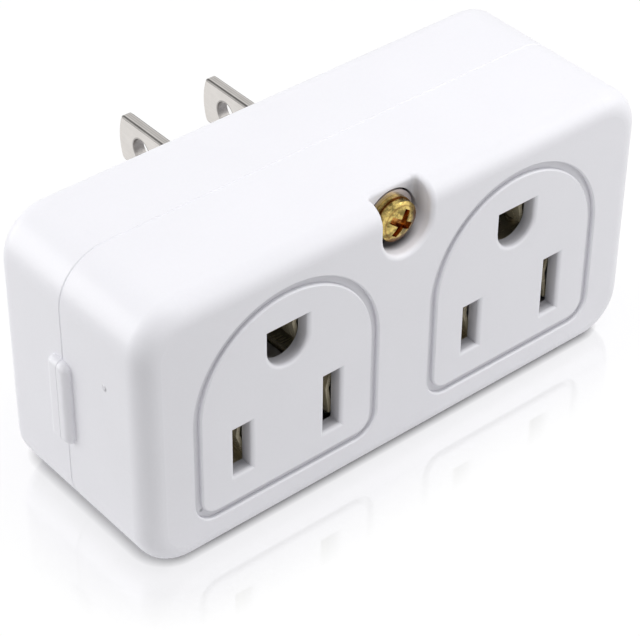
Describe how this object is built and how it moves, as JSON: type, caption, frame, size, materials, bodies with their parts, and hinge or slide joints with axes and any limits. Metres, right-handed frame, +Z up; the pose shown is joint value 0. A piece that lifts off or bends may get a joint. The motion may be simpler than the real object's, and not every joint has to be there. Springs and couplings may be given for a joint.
{
  "type": "multi socket adapter",
  "caption": "Compact white wall adapter: flat blades at the back plug into a wall outlet and feed grounded sockets in arched outlines on the front, with a brass earth screw between them.",
  "frame": {"origin": "on the rear wall face of the housing, midway between the plug blades and at their middle height", "axes": "+Y along the blades into the wall outlet, +Z up with the ground holes above the slots, +X to the right seen from the front"},
  "size_m": [0.0746, 0.0442, 0.0355],
  "materials": {
    "housing_plastic": "white moulded plastic with a fine satin sheen",
    "blade_metal": "nickel-plated stamped brass, lightly brushed",
    "contact_brass": "bare stamped brass",
    "earth_brass": "polished brass",
    "screw_steel": "zinc-plated steel"
  },
  "bodies": {
    "root": {"front_housing": "housing_plastic", "rear_housing": "housing_plastic", "live_blade": "blade_metal", "neutral_blade": "blade_metal", "live_strip": "contact_brass", "neutral_strip": "contact_brass", "ground_strip": "blade_metal", "live_clip_left": "contact_brass", "live_clip_right": "contact_brass", "neutral_clip_left": "contact_brass", "neutral_clip_right": "contact_brass", "ground_clip_left": "contact_brass", "ground_clip_right": "contact_brass", "clip_rivets": "contact_brass", "blade_rivets": "contact_brass", "earth_washer": "earth_brass", "earth_screw": "earth_brass", "housing_screws": "screw_steel"}
  },
  "joints": []
}
